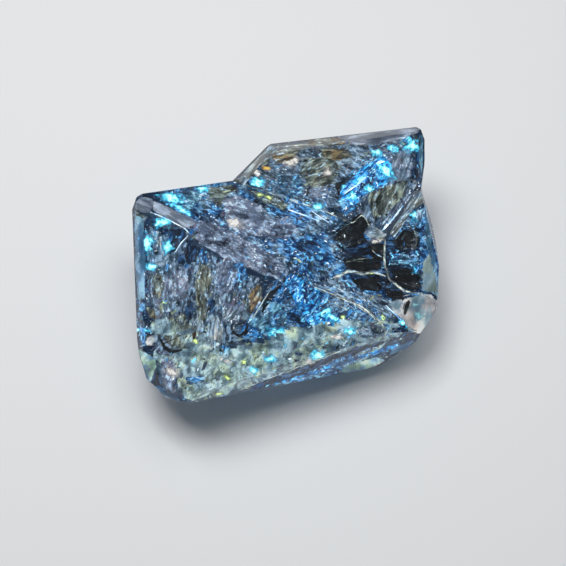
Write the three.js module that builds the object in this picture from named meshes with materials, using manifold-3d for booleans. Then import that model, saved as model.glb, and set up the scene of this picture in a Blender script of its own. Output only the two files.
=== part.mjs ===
// Petroleum quartz: a flattened, doubly ended crystal with a second crystal grown on its far right corner.
// Millimetres, +Z up. The crystal lies on its flat back face at Z = 0, with its near rim on the -Y side.
import * as THREE from "three";
import { mergeVertices } from "three/addons/utils/BufferGeometryUtils.js";
import Module from "manifold-3d";

const wasm = await Module();
wasm.setup();
const { Manifold, Mesh } = wasm;

// Centres that the faces of each crystal are measured from
const MAIN_CENTRE = new THREE.Vector3(0, 0.4, 2.6);
const SECOND_CENTRE = new THREE.Vector3(2.4, 3.2, 3.3);

// Each face is [azimuth, slope, distance]: the azimuth of its outward normal from +X, the normal's
// angle above level (both in degrees), and the distance of the face from the crystal's centre in mm.
const MAIN_FACES = {
  // four wide upper faces that meet in an envelope pattern
  left: [-154, 60, 3],
  top: [94.5, 68, 2.3],
  right: [-20, 57.5, 2.92],
  near: [-68, 45, 3.24],
  // narrow facet along the edge between left and top
  edge_left_top: [-162, 65.5, 2.96],
  // sides of the outline, from the left clockwise as seen from above
  side_left: [-178.5, -10, 5.64],
  corner_far_left: [136, -10, 5.76],
  side_far: [102, -14, 3.68],
  side_right_far: [25, -9, 6.18],
  side_right: [11.5, -9.5, 6.12],
  side_right_near: [0.5, -8, 6.2],
  side_corner: [-33.5, -8, 5.72],
  side_near_right: [-70.5, 4, 4.04],
  side_near: [-68, 5, 4.12],
  corner_near: [-110, -6.5, 6.3],
  corner_near_left: [-121, -9.5, 6.52],
  corner_left: [-136.5, -12, 6.62],
  // slim bevels between the upper faces and the sides
  rim_left: [-169, 30, 5],
  rim_right: [4, 25.5, 5.48],
  bevel_left: [-153.5, 30, 5.32],
  bevel_near_left: [-144, 31.5, 5.36],
  bevel_near: [-134.5, 28.5, 5.64],
  // under side, closing in to the flat back face that the crystal lies on
  under_near: [-82.5, -36.5, 3.96],
  under_near_right: [-26.5, -51, 4.4],
  under_corner: [-22.5, -39.5, 4.98],
  back_left: [-172, -38, 4.9],
  back_far: [98, -40, 3.76],
  back_right: [4, -40, 4.76],
  base: [0, -90, 2.6],
};

const SECOND_FACES = {
  // two wide upper faces, meeting in a straight ridge
  top: [114.5, 65, 1.44],
  right: [-21.5, 61, 1.7],
  // low risers where it stands on the main crystal
  riser_left: [-128, 34, 1.79],
  riser_near: [-53, 50, 2.06],
  riser_right: [-25, 38.5, 2.12],
  // sloping bands along the far edges
  band_far: [106.5, 52, 1.88],
  band_left: [123, 51.5, 2.16],
  // sides of the outline
  side_left: [153, -13, 4.12],
  side_far: [86.5, -11.5, 3.08],
  corner_far: [24, -8, 3.8],
  side_right: [0.5, -9, 3.08],
  side_right_near: [-6, -8, 2.92],
  // under side
  under_far: [92, -52, 2.84],
  under_right: [5, -42, 2.9],
  under_left: [150, -36, 3.7],
  underneath: [0, -90, 1.8],
};

// Growth steps on the main crystal. Inside its outline (X, Y corners in mm) each one moves a face:
// outward for a raised plate or ledge, inward for a shallow hollow with a flat floor.
const LEDGES = [
  { face: "right", moved: [-20, 57.5, 2.95], outline: [[0.75, -1.26], [4.55, -1.8], [4.5, -2.18], [3.9, -2.28], [0.8, -1.32]] },
  { face: "right", moved: [-20, 57.5, 2.98], outline: [[1.2, -1.38], [4.4, -1.96], [4.35, -2.12], [3.9, -2.2], [1.25, -1.43]] },
  { face: "right", moved: [-24, 56, 3.05], outline: [[4.66, -0.79], [5.29, -0.49], [5.85, -0.64], [5.1, -1.7], [4.66, -1.6]] },
  { face: "top", moved: [94.5, 68, 2.34], outline: [[-1.75, 2.45], [1.5, 0.95], [1.9, 1.6], [-1.3, 3.1]] },
  { face: "left", moved: [-154, 60, 3.03], outline: [[-5.2, 1.14], [-4.81, 1.06], [-4.82, -2.75], [-5.1, -2.7]] },
];
const HOLLOWS = [
  { face: "right", moved: [-20, 57.5, 2.86], outline: [[3.34, 1.76], [3.25, 1.06], [2.19, 0.55], [1.65, 0.54], [2.95, 1.87]] },
  { face: "right", moved: [-20, 57.5, 2.87], outline: [[4.33, 1.35], [4.4, 0.94], [5.05, 1.21], [5.32, 2.09], [5, 2.31]] },
  { face: "right", moved: [-20, 57.5, 2.88], outline: [[2.34, -0.06], [2.6, -0.44], [3.9, -0.03], [3.87, 0.27]] },
];
const LEDGE_START = 2; // level inside the crystal where the outline of a ledge starts
const HOLLOW_START = 2.5; // level inside the crystal where the outline of a hollow starts
const ABOVE = 7; // level above the whole crystal

const QUARTZ = { color: 0x7f9bb0, roughness: 0.08, metalness: 0, flatShading: true };

const INSIDE_SLACK = 1e-7;
const GRID = 1e-6; // corners are rounded to this many mm, so that faces share them exactly

function facePlane(centre, [azimuth, slope, distance]) {
  const around = THREE.MathUtils.degToRad(azimuth);
  const up = THREE.MathUtils.degToRad(slope);
  const normal = new THREE.Vector3(Math.cos(around) * Math.cos(up), Math.sin(around) * Math.cos(up), Math.sin(up));
  return { normal, offset: normal.dot(centre) + distance };
}

// The point that three planes share, or null where two of them are parallel
function sharedPoint(a, b, c) {
  const crossBC = new THREE.Vector3().crossVectors(b.normal, c.normal);
  const crossCA = new THREE.Vector3().crossVectors(c.normal, a.normal);
  const crossAB = new THREE.Vector3().crossVectors(a.normal, b.normal);
  const determinant = a.normal.dot(crossBC);
  if (Math.abs(determinant) < INSIDE_SLACK) return null;
  const point = crossBC.multiplyScalar(a.offset).addScaledVector(crossCA, b.offset).addScaledVector(crossAB, c.offset);
  return point.divideScalar(determinant);
}

// The corners of one face of a crystal, in order around its outward normal
function faceCorners(face, planes) {
  const corners = new Map();
  for (const b of planes) {
    for (const c of planes) {
      if (b === face || c === face || b === c) continue;
      const point = sharedPoint(face, b, c);
      if (!point || planes.some((plane) => plane.normal.dot(point) > plane.offset + INSIDE_SLACK)) continue;
      const rounded = point.toArray().map((value) => Math.round(value / GRID) * GRID);
      corners.set(rounded.map((value) => value.toFixed(6)).join(), new THREE.Vector3(...rounded));
    }
  }
  const points = [...corners.values()];
  if (points.length < 3) return [];
  const middle = points.reduce((sum, point) => sum.add(point), new THREE.Vector3()).divideScalar(points.length);
  const across = points[0].clone().sub(middle).normalize();
  const along = new THREE.Vector3().crossVectors(face.normal, across);
  const angle = (point) => Math.atan2(point.clone().sub(middle).dot(along), point.clone().sub(middle).dot(across));
  return points.sort((p, q) => angle(p) - angle(q));
}

function toSolid(geometry) {
  const closed = geometry.clone();
  closed.deleteAttribute("normal");
  closed.deleteAttribute("uv");
  const merged = mergeVertices(closed, GRID);
  const vertProperties = new Float32Array(merged.attributes.position.array);
  return new Manifold(new Mesh({ numProp: 3, vertProperties, triVerts: new Uint32Array(merged.index.array) }));
}

// The space within a set of faces, as a closed solid
function crystal(centre, faces) {
  const planes = Object.values(faces).map((face) => facePlane(centre, face));
  const positions = [];
  for (const face of planes) {
    const corners = faceCorners(face, planes);
    for (let i = 1; i + 1 < corners.length; i += 1) {
      for (const corner of [corners[0], corners[i], corners[i + 1]]) positions.push(...corner.toArray());
    }
  }
  const geometry = new THREE.BufferGeometry();
  geometry.setAttribute("position", new THREE.Float32BufferAttribute(positions, 3));
  return toSolid(geometry);
}

// An upright column with the given outline
function column(outline, start) {
  const shape = new THREE.Shape(outline.map(([x, y]) => new THREE.Vector2(x, y)));
  const geometry = new THREE.ExtrudeGeometry(shape, { depth: ABOVE - start, bevelEnabled: false });
  return toSolid(geometry.translate(0, 0, start));
}

let body = crystal(MAIN_CENTRE, MAIN_FACES);
for (const { face, moved, outline } of LEDGES) {
  const raised = crystal(MAIN_CENTRE, { ...MAIN_FACES, [face]: moved });
  body = body.add(column(outline, LEDGE_START).intersect(raised));
}
for (const { face, moved, outline } of HOLLOWS) {
  const lowered = crystal(MAIN_CENTRE, { ...MAIN_FACES, [face]: moved });
  body = body.subtract(column(outline, HOLLOW_START).subtract(lowered));
}
body = body.add(crystal(SECOND_CENTRE, SECOND_FACES));

const surface = body.getMesh();
const geometry = new THREE.BufferGeometry();
geometry.setAttribute("position", new THREE.BufferAttribute(new Float32Array(surface.vertProperties), 3));
geometry.setIndex(new THREE.BufferAttribute(new Uint32Array(surface.triVerts), 1));
geometry.computeVertexNormals();
geometry.computeBoundingBox();
const outlineMiddle = geometry.boundingBox.getCenter(new THREE.Vector3());

// The origin lies under the middle of the outline, at the level of the flat back face
const quartz = new THREE.Mesh(geometry, new THREE.MeshStandardMaterial(QUARTZ));
quartz.name = "quartz_crystal";
quartz.position.set(-outlineMiddle.x, -outlineMiddle.y, 0);

const group = new THREE.Group();
group.name = "petroleum_quartz";
group.add(quartz);

export default group;
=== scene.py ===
"""Petroleum quartz crystal: clear quartz with oil, gas and bitumen sealed inside it."""
import math

import bmesh
import bpy
import numpy as np
from bpy.props import FloatProperty, FloatVectorProperty, IntProperty, PointerProperty
from mathutils import Matrix, Vector, noise
from mathutils.bvhtree import BVHTree


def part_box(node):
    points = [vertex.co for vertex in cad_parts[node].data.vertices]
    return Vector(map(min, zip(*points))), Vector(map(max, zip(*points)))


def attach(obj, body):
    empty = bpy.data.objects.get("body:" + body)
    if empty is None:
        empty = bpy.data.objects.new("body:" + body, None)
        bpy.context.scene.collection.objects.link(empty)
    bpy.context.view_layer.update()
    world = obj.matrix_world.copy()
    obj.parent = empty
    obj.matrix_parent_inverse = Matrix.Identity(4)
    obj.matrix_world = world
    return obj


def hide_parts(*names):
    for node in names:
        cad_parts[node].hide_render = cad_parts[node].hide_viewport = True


bl_info = {
    "name": "Petroleum Quartz",
    "version": (1, 0, 0),
    "blender": (4, 5, 0),
    "location": "View3D > Sidebar > Petroleum Quartz",
    "description": "Builds a clear quartz crystal with oil, bitumen and healed fractures inside it",
    "category": "Add Mesh",
}

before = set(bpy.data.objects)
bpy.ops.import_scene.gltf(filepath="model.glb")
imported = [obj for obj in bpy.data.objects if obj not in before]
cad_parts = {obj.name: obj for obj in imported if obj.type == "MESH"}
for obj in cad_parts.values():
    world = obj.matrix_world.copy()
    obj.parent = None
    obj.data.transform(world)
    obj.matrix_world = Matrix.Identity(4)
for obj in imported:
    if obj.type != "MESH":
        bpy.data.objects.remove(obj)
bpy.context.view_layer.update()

MM = 0.001
CRYSTAL_NODE = "quartz_crystal"
QUARTZ_IOR = 1.544

# UV maps of the films: place along the grain in mm, and how far inside the film's edge
GRAIN = "grain"
FADE = "fade"

# Camera: looks along +Y from well above, at a point 2.6 mm up in the middle of the main crystal
AIM = Vector((-0.09, -0.64, 2.6)) * MM
CAMERA_ELEVATION = math.radians(62)
CAMERA_DISTANCE = 61.05 * MM
LENS_MM = 100.0
SENSOR_MM = 36.0
IMAGE_SIZE = 566
POINT_MM = 0.0388  # width of one image point at the crystal
TOWARDS_CAMERA = Vector((0, -math.cos(CAMERA_ELEVATION), math.sin(CAMERA_ELEVATION)))
CAMERA_PLACE = AIM + TOWARDS_CAMERA * CAMERA_DISTANCE
CAMERA_RIGHT = Vector((1, 0, 0))
CAMERA_UP = TOWARDS_CAMERA.cross(CAMERA_RIGHT)

# The crystal's mesh and surface: growth lines and pits are waves per metre
WELD = 0.002 * MM
FLAT_ANGLE = math.radians(0.4)
EDGE_ANGLE = math.radians(12)
EDGE_SEGMENTS = 3
GROWTH_SCALE = (600, 600, 5200)
PIT_SCALE = 2600
PIT_SHARE = 0.35
PIT_BUMP = 0.1
PIT_DEPTH = 0.01 * MM
PIT_LEVELS = (0.35, 0.75)
SMOOTHEST = 0.5
ROUGHEST = 2.5
QUARTZ_COLOR = (0.97, 0.985, 1, 1)

# How close a film may come to a face, and from how far outside it is brought back
FILM_MARGIN = 0.015 * MM
FILM_REACH = 0.35 * MM
FILM_BODY = 0.008 * MM
LEAST_MARGIN = 0.3 * FILM_MARGIN
LEAST_DEPTH_MM = 0.03
HELD_TRIES = 3


# Settings

class QuartzSettings(bpy.types.PropertyGroup):
    roughness: FloatProperty(
        name="Roughness", description="Roughness of the natural crystal faces",
        default=0.035, min=0, max=1)
    edge_wear: FloatProperty(
        name="Edge wear", description="Width of the worn edges between faces, in metres",
        default=0.045 * MM, min=0, unit="LENGTH")
    absorption: FloatProperty(
        name="Absorption", description="Density of the faint blue-grey body colour, per metre",
        default=260, min=0)
    body_color: FloatVectorProperty(
        name="Body colour", description="Colour of light after a long way through the quartz",
        subtype="COLOR", size=3, default=(0.30, 0.43, 0.57), min=0, max=1)


class InclusionSettings(bpy.types.PropertyGroup):
    seed: IntProperty(
        name="Seed", description="Changes the arrangement of the small inclusions", default=7)
    amount: FloatProperty(
        name="Amount", description="Share of the full number of small inclusions",
        default=1, min=0.05, max=1, subtype="FACTOR")
    # The glow is painted: emission that stands in for light reaching the inclusions through the glass
    glow: FloatProperty(
        name="Glow", description="Strength of the glow of the small inclusions", default=1.0, min=0)


class StageSettings(bpy.types.PropertyGroup):
    floor_color: FloatVectorProperty(
        name="Floor colour", description="Colour of the plain floor",
        subtype="COLOR", size=3, default=(0.72, 0.73, 0.74), min=0, max=1)
    key_power: FloatProperty(
        name="Key light", description="Power of the large soft light", default=0.052, min=0, unit="POWER")
    sky: FloatProperty(
        name="Surroundings", description="Brightness of the even surrounding light", default=0.13, min=0)


# Small helpers

def settings():
    scene = bpy.context.scene
    return scene.petroleum_quartz, scene.quartz_inclusions, scene.quartz_stage


def deselect():
    if bpy.context.object and bpy.context.object.mode != "OBJECT":
        bpy.ops.object.mode_set(mode="OBJECT")
    bpy.ops.object.select_all(action="DESELECT")


def finish_piece(piece, slot, material):
    """Gives a piece its material and its place in the frame."""
    piece.data.materials.clear()
    piece.data.materials.append(material)
    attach(piece, "root")
    return piece


def waves(x, y, scale, salt):
    """Soft noise from -1 to 1 over the image, with this many waves per image point."""
    return noise.noise(Vector((x * scale, y * scale, salt)))


# The inside of the crystal

class Inside:
    """Finds points inside the crystal, along the lines of sight of the photograph's camera."""

    def __init__(self):
        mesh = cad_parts[CRYSTAL_NODE].data
        points = [v.co[:] for v in mesh.vertices]
        self.tree = BVHTree.FromPolygons(points, [p.vertices[:] for p in mesh.polygons], epsilon=0)
        self.low, self.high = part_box(CRYSTAL_NODE)

    def sight(self, x, y):
        """Direction of the line of sight through image point (x, y)."""
        across = (x / IMAGE_SIZE - 0.5) * SENSOR_MM / LENS_MM
        up = (0.5 - y / IMAGE_SIZE) * SENSOR_MM / LENS_MM
        return (CAMERA_RIGHT * across + CAMERA_UP * up - TOWARDS_CAMERA).normalized()

    def bent(self, ray, normal):
        """The way on of a line of sight inside the quartz."""
        ratio = 1 / QUARTZ_IOR
        cosine = -normal.dot(ray)
        turned = ratio * cosine - math.sqrt(1 - ratio * ratio * (1 - cosine * cosine))
        return (ray * ratio + normal * turned).normalized()

    def face_at(self, x, y):
        """A point and the normal of the face seen at (x, y), or None beside the crystal."""
        place, normal, _, _ = self.tree.ray_cast(CAMERA_PLACE, self.sight(x, y))
        return None if place is None else (place, normal)

    def under(self, face, x, y, depth):
        """The point seen at (x, y) through a face that lies this many metres over it."""
        place, normal = face
        ray = self.sight(x, y)
        entry = CAMERA_PLACE + ray * ((place - CAMERA_PLACE).dot(normal) / ray.dot(normal))
        onward = self.bent(ray, normal)
        return entry + onward * (depth / -onward.dot(normal))

    def held(self, point):
        """The point, moved in under the faces that it is too close to, or None if it is far outside."""
        for _ in range(HELD_TRIES):
            place, normal, _, _ = self.tree.find_nearest(point)
            inside = (place - point).dot(normal)
            if inside < -FILM_REACH:
                return None
            if inside >= FILM_MARGIN:
                return point
            point = point + normal * (inside - FILM_MARGIN)
        return point if self.clearance(point) > LEAST_MARGIN else None

    def clearance(self, point):
        """Distance from a point to the nearest face: less than nothing outside."""
        place, normal, _, distance = self.tree.find_nearest(point)
        return distance if (point - place).dot(normal) < 0 else -distance


INSIDE = Inside()


# Material nodes

NODE_STEP = 200
NODE_ROW = 280
NODES_IN_A_ROW = 8


def new_material(name):
    material = bpy.data.materials.new(name)
    material.use_nodes = True
    return material, material.node_tree, material.node_tree.nodes["Principled BSDF"]


def fill(tree, made, inputs):
    """Gives each input of a node a plain value or the output of another node."""
    for socket, value in inputs.items():
        if isinstance(value, bpy.types.NodeSocket):
            tree.links.new(value, made.inputs[socket])
        else:
            made.inputs[socket].default_value = value


def node(tree, kind, inputs, **options):
    """Adds a node, to the left of the shader, with its options and inputs."""
    row, step = divmod(len(tree.nodes), NODES_IN_A_ROW)
    made = tree.nodes.new("ShaderNode" + kind)
    made.location = (NODE_STEP * (step - NODES_IN_A_ROW - 1), -NODE_ROW * row)
    for name, value in options.items():
        setattr(made, name, value)
    fill(tree, made, inputs)
    return made


def object_place(tree):
    return node(tree, "TexCoord", {}).outputs["Object"]


def uv_place(tree, name):
    return node(tree, "UVMap", {}, uv_map=name).outputs["UV"]


def stretched(tree, place, scale):
    return node(tree, "Mapping", {"Vector": place, "Scale": scale}).outputs["Vector"]


def cloudy(tree, place, scale, detail, roughness=0.5, distortion=0):
    """Noise from 0 to 1."""
    inputs = {"Vector": place, "Scale": scale, "Detail": detail}
    return node(tree, "TexNoise", {**inputs, "Roughness": roughness, "Distortion": distortion}).outputs["Fac"]


def spread(tree, value, low, high, bottom=0, top=1, smooth=False):
    """The value, moved from the range low..high to bottom..top."""
    inputs = {"Value": value, "From Min": low, "From Max": high, "To Min": bottom, "To Max": top}
    kind = "SMOOTHSTEP" if smooth else "LINEAR"
    return node(tree, "MapRange", inputs, interpolation_type=kind).outputs["Result"]


def maths(tree, operation, *values):
    return node(tree, "Math", dict(enumerate(values)), operation=operation).outputs["Value"]


def mixed(tree, factor, first, second, kind="MIX"):
    inputs = {"Factor": factor, "A": first, "B": second}
    return node(tree, "Mix", inputs, data_type="RGBA", blend_type=kind).outputs["Result"]


def raised(tree, height, strength, distance):
    inputs = {"Height": height, "Strength": strength, "Distance": distance}
    return node(tree, "Bump", inputs).outputs["Normal"]


def ramp(tree, value, stops):
    """The colour at a value, between stops of (position, colour)."""
    made = node(tree, "ValToRGB", {"Fac": value})
    steps = made.color_ramp.elements
    steps[0].position, steps[0].color = stops[0][0], (*stops[0][1], 1)
    steps[1].position, steps[1].color = stops[-1][0], (*stops[-1][1], 1)
    for position, color in stops[1:-1]:
        step = steps.new(position)
        step.color = (*color, 1)
    return made.outputs["Color"]


# Materials

# Levels between which a patch, the painted glint crackle, a film, a hole in it and a painted glow begin and
# are full
PATCH_EDGE = (0.44, 0.60)
CRACKLE_EDGE = (0.47, 0.56)
FILM_EDGE = (0.95, 1.45)
HOLE_EDGE = (0.33, 0.45)
GLOW_EDGE = (0, 0.95)

# Solid core of a dot and of a painted glint crackle line, as a share of its width, and how sharply dots are
# picked
DOT_CORE = 0.5
CRACKLE_CORE = 0.3
DOT_DOUBT = 0.02

# The slow change of shade against the patches, and how far the streaks break the edge
SHADE_SHARE = 0.9
EDGE_BREAK = 1.8
FILM_BUMP = 0.6
FILM_RELIEF = 0.02 * MM
FILM_ROUGHNESS = 0.35

OIL_IOR = 1.45
GLOW_ROUGHNESS = 0.3
RIPPLE_SCALE = 8000
RIPPLE = 1.5
RIPPLE_SHIFT = 0.72


def quartz_material():
    """Clear quartz with faint growth lines and pits."""
    quartz, _, _ = settings()
    smooth, rough = quartz.roughness * SMOOTHEST, quartz.roughness * ROUGHEST
    material, tree, shader = new_material("clear_quartz")
    place = object_place(tree)
    growth = cloudy(tree, stretched(tree, place, GROWTH_SCALE), 1, detail=4)
    pits = cloudy(tree, place, PIT_SCALE, detail=3)
    body = node(tree, "VolumeAbsorption", {"Color": (*quartz.body_color, 1), "Density": quartz.absorption})
    fill(tree, shader, {
        "Base Color": QUARTZ_COLOR,
        "Transmission Weight": 1,
        "IOR": QUARTZ_IOR,
        "Roughness": spread(tree, pits, *PIT_LEVELS, smooth, rough),
        "Normal": raised(tree, maths(tree, "MULTIPLY_ADD", pits, PIT_SHARE, growth), PIT_BUMP, PIT_DEPTH),
    })
    fill(tree, tree.nodes["Material Output"], {"Volume": body.outputs["Volume"]})
    return material


def fleck_material(name, stops, glow, roughness, scale):
    """Small sealed matter: its colour changes from fleck to fleck, and kinds with a glow emit it as a painted
    glow.
    """
    material, tree, shader = new_material(name)
    tint = ramp(tree, cloudy(tree, object_place(tree), scale, detail=5, roughness=0.7), stops)
    fill(tree, shader, {"Base Color": tint, "Roughness": roughness, "IOR": OIL_IOR})
    # Painted glow: the fleck's colour is also emitted, standing in for light reaching it through the glass
    if glow:
        fill(tree, shader, {"Emission Color": tint, "Emission Strength": glow})
    return material


def mottled_material(name, finish):
    """Film for healed cracks, oil, bitumen, painted rim reflections and painted shade: streaks and patches
    along its own grain, with dots, crackle, soft edges and a painted glow.
    """
    material, tree, shader = new_material(name)
    grain = uv_place(tree, GRAIN)
    along = stretched(tree, grain, (1 / finish["stretch"], 1, 1))
    streaks = cloudy(tree, along, finish["fine"], detail=6, roughness=finish["grit"], distortion=0.4)
    cells = node(tree, "TexVoronoi", {"Vector": along, "Scale": finish["dots"]})
    chance = node(tree, "SeparateColor", {"Color": cells.outputs["Color"]})

    # Streaks that step in brightness from cell to cell, in two sets of colours
    half = finish["shards"] / 2
    tone = maths(tree, "ADD", streaks, spread(tree, chance.outputs["Green"], 0, 1, -half, half))
    patches = spread(tree, cloudy(tree, grain, finish["coarse"], detail=3), *PATCH_EDGE, smooth=True)
    color = mixed(tree, patches, ramp(tree, tone, finish["stops"]), ramp(tree, tone, finish["patch"]))

    # A dot in the middle of some cells: a painted glint where the dot colour is light, a dark speck where it
    # is dark
    size, share = finish["dot_size"], finish["dot_share"]
    near = spread(tree, cells.outputs["Distance"], size, size * DOT_CORE)
    picked = spread(tree, chance.outputs["Red"], share - DOT_DOUBT, share + DOT_DOUBT, 1, 0)
    color = mixed(tree, maths(tree, "MULTIPLY", near, picked), color, (*finish["dot"], 1))

    # Thin painted glint lines in a crackle pattern, where the streaks are light
    wander = cloudy(tree, along, finish["crackle"], detail=3, roughness=0.6, distortion=0.8)
    off = maths(tree, "ABSOLUTE", maths(tree, "SUBTRACT", wander, 0.5))
    thin = spread(tree, off, finish["crackle_width"], finish["crackle_width"] * CRACKLE_CORE)
    light = spread(tree, streaks, *CRACKLE_EDGE, smooth=True)
    color = mixed(tree, maths(tree, "MULTIPLY", thin, light), color, (*finish["shine"], 1))

    # Slow change of shade, with holes where it is darkest, and an edge broken by the streaks
    slow = cloudy(tree, grain, finish["coarse"] * SHADE_SHARE, detail=4, roughness=0.65, distortion=0.6)
    color = mixed(tree, 1, color, ramp(tree, slow, finish["shade"]), "MULTIPLY")
    inside = node(tree, "SeparateXYZ", {"Vector": uv_place(tree, FADE)}).outputs["X"]
    edge = spread(tree, maths(tree, "MULTIPLY_ADD", streaks, EDGE_BREAK, inside), *FILM_EDGE, smooth=True)
    solid = spread(tree, slow, *HOLE_EDGE, finish["least"], smooth=True)
    # Painted glow: the film's colour is also emitted, standing in for light reaching it through the glass
    fill(tree, shader, {
        "Base Color": color,
        "Emission Color": color,
        "Emission Strength": finish["glow"],
        "Roughness": FILM_ROUGHNESS,
        "Alpha": maths(tree, "MULTIPLY", edge, solid),
        "Normal": raised(tree, streaks, FILM_BUMP, FILM_RELIEF),
    })
    return material


def glow_material(name, finish):
    """A drop of oil with a painted glow, brightest in its middle, that fades into the film round it."""
    material, tree, shader = new_material(name)
    inside = node(tree, "SeparateXYZ", {"Vector": uv_place(tree, FADE)}).outputs["X"]
    ripple = cloudy(tree, object_place(tree), RIPPLE_SCALE, detail=5, roughness=0.7)
    uneven = maths(tree, "SUBTRACT", maths(tree, "MULTIPLY_ADD", ripple, RIPPLE, inside), RIPPLE_SHIFT)
    tint = ramp(tree, uneven, finish["stops"])
    fill(tree, shader, {
        "Base Color": tint,
        "Emission Color": tint,
        "Emission Strength": finish["glow"],
        "Roughness": GLOW_ROUGHNESS,
        "Alpha": spread(tree, uneven, *GLOW_EDGE, smooth=True),
    })
    return material


# Flecks, modelled once and copied

FLECK_SIDES = (5, 5, 6)
FLECK_BODY = 0.09
FLECK_UNEVEN = 0.17
FLECK_SWELL = 0.2
FACES_DOWN = -0.9
FIRST_SEED = 3


def model_fleck(index, sides):
    """A thin lens with an uneven outline, about 1 m across, to be copied small."""
    deselect()
    bpy.ops.mesh.primitive_cone_add(
        vertices=sides, radius1=0.5, radius2=0, depth=FLECK_BODY, location=(0, 0, FLECK_BODY / 2))
    fleck = bpy.context.object
    fleck.name = f"fleck_{index}"
    bpy.ops.object.mode_set(mode="EDIT")
    bpy.ops.mesh.select_mode(type="FACE")
    bpy.ops.mesh.select_all(action="DESELECT")
    shell = bmesh.from_edit_mesh(fleck.data)
    for face in shell.faces:
        face.select = face.normal.z < FACES_DOWN
    bmesh.update_edit_mesh(fleck.data)
    bpy.ops.mesh.poke(offset=FLECK_BODY)
    bpy.ops.mesh.select_mode(type="VERT")
    bpy.ops.mesh.select_all(action="SELECT")
    bpy.ops.transform.vertex_random(offset=FLECK_UNEVEN, uniform=FLECK_SWELL, seed=index + FIRST_SEED)
    bpy.ops.mesh.normals_make_consistent(inside=False)
    bpy.ops.mesh.quads_convert_to_tris()
    bpy.ops.object.mode_set(mode="OBJECT")
    return fleck


def copies(masters, places, turns, sizes, name):
    """One mesh with a copy of a master at each place; sizes are in metres and turns are 3x3 matrices."""
    rng = np.random.default_rng(len(places))
    pick = rng.integers(0, len(masters), len(places))
    points, corners, count = [], [], 0
    for index, master in enumerate(masters):
        chosen = np.flatnonzero(pick == index)
        if not len(chosen):
            continue
        shape = np.array([v.co for v in master.data.vertices], float)
        faces = np.array([p.vertices[:] for p in master.data.polygons], int)
        scaled = shape[None] * sizes[chosen][:, None, :]
        placed = np.einsum("nij,nkj->nki", turns[chosen], scaled) + places[chosen][:, None]
        points.append(placed.reshape(-1, 3))
        offsets = count + np.arange(len(chosen)) * len(shape)
        corners.append((faces[None] + offsets[:, None, None]).reshape(-1, 3))
        count += len(chosen) * len(shape)
    mesh = bpy.data.meshes.new(name)
    mesh.from_pydata(np.concatenate(points).tolist(), [], np.concatenate(corners).tolist())
    mesh.update()
    piece = bpy.data.objects.new(name, mesh)
    bpy.context.scene.collection.objects.link(piece)
    return piece


def turn_matrices(normals, along, rng, loose):
    """Matrices with Z near the normals and X near the directions, each turned loosely at random."""
    n = normals + rng.normal(0, loose, normals.shape)
    n /= np.linalg.norm(n, axis=1)[:, None]
    a = along + rng.normal(0, loose, along.shape)
    a -= (a * n).sum(1)[:, None] * n
    a /= np.linalg.norm(a, axis=1)[:, None]
    return np.stack([a, np.cross(n, a), n], axis=2)


# Colours of the films, from dark to light: (level of the streaks, colour)
SLATE = ((0.37, (0.010, 0.018, 0.030)), (0.49, (0.090, 0.145, 0.195)), (0.61, (0.46, 0.58, 0.66)))
BLUE = ((0.36, (0.002, 0.010, 0.04)), (0.50, (0.012, 0.070, 0.20)), (0.62, (0.10, 0.41, 0.74)))
GREY = ((0.36, (0.02, 0.036, 0.05)), (0.50, (0.10, 0.155, 0.205)), (0.62, (0.38, 0.46, 0.52)))
MAUVE = ((0.36, (0.065, 0.075, 0.11)), (0.50, (0.17, 0.20, 0.27)), (0.62, (0.46, 0.50, 0.57)))
OLIVE = ((0.36, (0.014, 0.017, 0.012)), (0.50, (0.100, 0.112, 0.092)), (0.62, (0.36, 0.39, 0.30)))
LICHEN = ((0.37, (0.07, 0.10, 0.09)), (0.49, (0.22, 0.28, 0.24)), (0.61, (0.60, 0.68, 0.50)))
HAZE = ((0.37, (0.055, 0.10, 0.13)), (0.49, (0.19, 0.28, 0.32)), (0.61, (0.54, 0.68, 0.68)))
NIGHT = ((0.36, (0.001, 0.002, 0.006)), (0.52, (0.005, 0.024, 0.062)), (0.64, (0.05, 0.17, 0.38)))
# Near black: painted shade in the windows, where the crystal looks dark right through, and real black bitumen
# in the dark lines
WINDOW = ((0.36, (0.0008, 0.0012, 0.0016)), (0.54, (0.006, 0.009, 0.012)), (0.66, (0.05, 0.065, 0.08)))
TEAL = ((0.36, (0.010, 0.035, 0.06)), (0.50, (0.045, 0.13, 0.20)), (0.62, (0.26, 0.54, 0.64)))
AZURE = ((0.38, (0.002, 0.02, 0.08)), (0.49, (0.006, 0.12, 0.36)), (0.60, (0.05, 0.55, 0.90)))
TAN = ((0.37, (0.05, 0.055, 0.055)), (0.50, (0.19, 0.20, 0.19)), (0.62, (0.50, 0.53, 0.48)))
BITUMEN = ((0.37, (0.015, 0.009, 0.006)), (0.50, (0.10, 0.068, 0.038)), (0.62, (0.40, 0.27, 0.12)))
# Painted reflection: pale blue light along the crystal's outline; also the patches of the lime film
RIM = ((0.36, (0.02, 0.08, 0.17)), (0.50, (0.09, 0.22, 0.36)), (0.62, (0.45, 0.70, 0.86)))
LATH = ((0.37, (0.06, 0.075, 0.10)), (0.50, (0.145, 0.165, 0.205)), (0.62, (0.42, 0.44, 0.49)))
CREAM = ((0.37, (0.26, 0.24, 0.24)), (0.50, (0.56, 0.49, 0.45)), (0.62, (0.86, 0.80, 0.75)))
DUSK = ((0.37, (0.10, 0.17, 0.22)), (0.50, (0.25, 0.34, 0.38)), (0.62, (0.62, 0.66, 0.62)))
PALE = ((0.37, (0.10, 0.14, 0.14)), (0.50, (0.24, 0.29, 0.26)), (0.62, (0.44, 0.50, 0.44)))
LIME = ((0.37, (0.20, 0.30, 0.20)), (0.50, (0.36, 0.50, 0.38)), (0.62, (0.78, 0.88, 0.66)))
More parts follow.
